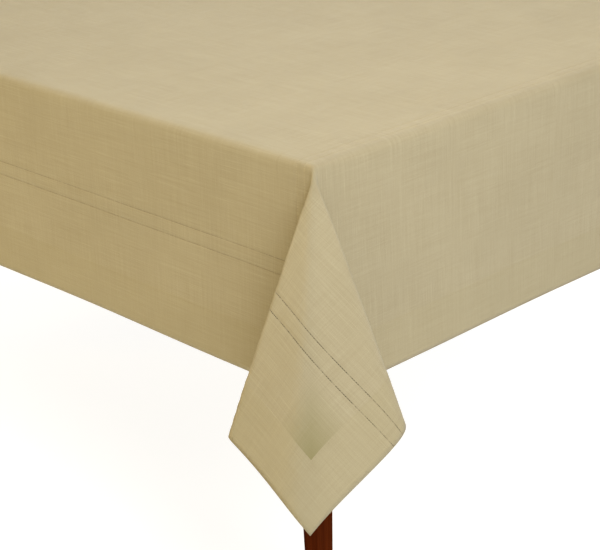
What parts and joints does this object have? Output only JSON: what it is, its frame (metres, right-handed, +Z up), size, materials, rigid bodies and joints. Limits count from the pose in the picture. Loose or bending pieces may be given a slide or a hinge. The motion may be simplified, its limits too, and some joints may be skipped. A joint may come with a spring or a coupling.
{
  "type": "covered dining table",
  "caption": "Rectangular wooden dining table under a linen tablecloth with deep mitred hems, paired stitched lines and pointed corner folds; the cloth lifts off.",
  "frame": {"origin": "on the floor under the middle of the table", "axes": "+X along the table's length, +Y across its width towards the back, +Z up; the modelled near corner is at +X and -Y"},
  "size_m": [1.8176, 1.3712, 0.7633],
  "materials": {
    "linen": "plain-weave natural linen with slubs, matt",
    "linen_thread": "hand-stitched linen thread, matt",
    "stained_wood": "dark red-brown stain, satin lacquer",
    "plain_wood": "unfinished planed wood",
    "zinc_steel": "zinc plated",
    "glide_nylon": "moulded nylon"
  },
  "bodies": {
    "table": {"leg_front_right": "stained_wood", "leg_back_right": "stained_wood", "leg_front_left": "stained_wood", "leg_back_left": "stained_wood", "apron_front": "stained_wood", "apron_back": "stained_wood", "apron_left": "stained_wood", "apron_right": "stained_wood", "table_top": "stained_wood", "centre_rail": "plain_wood", "top_buttons": "plain_wood", "corner_brace_front_right": "plain_wood", "corner_brace_back_right": "plain_wood", "corner_brace_front_left": "plain_wood", "corner_brace_back_left": "plain_wood", "hanger_bolts": "zinc_steel", "bolt_washers": "zinc_steel", "bolt_nuts": "zinc_steel", "brace_screws": "zinc_steel", "button_screws": "zinc_steel", "rail_screws": "zinc_steel", "glide_nails": "zinc_steel", "foot_glide_front_right": "glide_nylon", "foot_glide_back_right": "glide_nylon", "foot_glide_front_left": "glide_nylon", "foot_glide_back_left": "glide_nylon"},
    "tablecloth": {"cloth_top": "linen", "cloth_drop_front": "linen", "cloth_drop_back": "linen", "cloth_drop_left": "linen", "cloth_drop_right": "linen", "cloth_ear_front_right": "linen", "cloth_ear_back_right": "linen", "cloth_ear_front_left": "linen", "cloth_ear_back_left": "linen", "cloth_hem_front": "linen", "cloth_hem_back": "linen", "cloth_hem_left": "linen", "cloth_hem_right": "linen", "thread_lines": "linen_thread"}
  },
  "joints": [
    {"name": "tablecloth_lift", "type": "slide", "parent": "table", "child": "tablecloth", "axis": [0, 0, 1], "range_m": [0, 0.6]}
  ]
}
